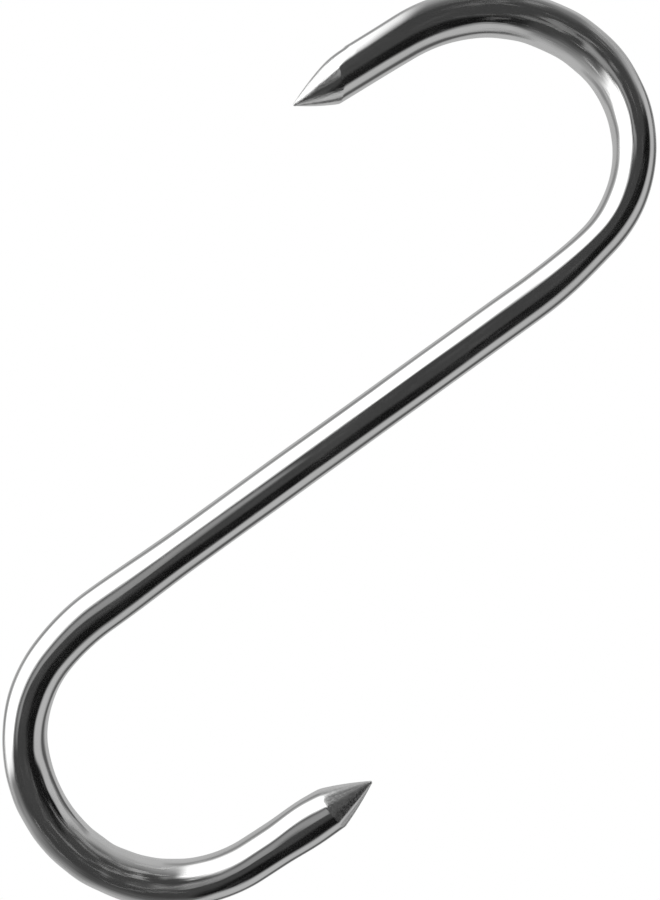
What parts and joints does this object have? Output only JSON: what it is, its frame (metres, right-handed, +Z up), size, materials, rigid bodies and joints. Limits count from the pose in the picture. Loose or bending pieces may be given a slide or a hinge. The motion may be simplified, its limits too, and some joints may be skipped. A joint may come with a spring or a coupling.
{
  "type": "meat hook",
  "caption": "S-shaped hook of polished round steel bar with a ground point at each end: one bend hangs on a rail and the other carries the meat.",
  "frame": {"origin": "rail seat: the top of the inside of the upper bend, where the hook bears on its rail", "axes": "+Z up as it hangs, with the load seat plumb below the origin; +Y square to the plane of the S; the rail hook's point is towards -X and the load hook's towards +X"},
  "size_m": [0.0723, 0.0088, 0.1798],
  "materials": {
    "polished_steel": "polished"
  },
  "bodies": {
    "root": {"hook_bar": "polished_steel"}
  },
  "joints": []
}
